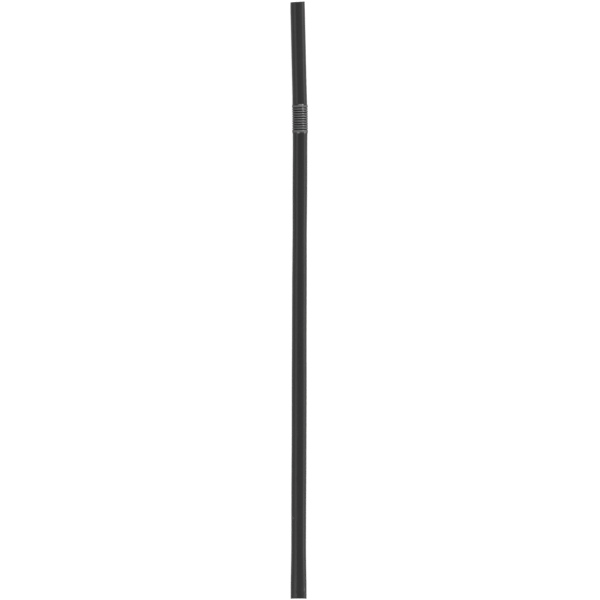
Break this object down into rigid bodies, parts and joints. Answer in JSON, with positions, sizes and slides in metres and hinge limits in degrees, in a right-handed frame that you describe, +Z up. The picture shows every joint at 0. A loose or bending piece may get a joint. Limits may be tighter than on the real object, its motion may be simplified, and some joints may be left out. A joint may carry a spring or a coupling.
{
  "type": "flexible drinking straw",
  "caption": "Thin-walled black plastic drinking straw with a short arm that leans at a folded bellows; it lies on its side.",
  "frame": {"origin": "middle of the surface that the straw lies on, under the middle of its box", "axes": "+Y along the leg from its squashed cut end towards the mouth, +Z up from the surface, and the arm leans a little towards -X"},
  "size_m": [0.0064, 0.21, 0.0056],
  "materials": {
    "black_plastic": "satin"
  },
  "bodies": {
    "root": {"straw": "black_plastic"}
  },
  "joints": []
}
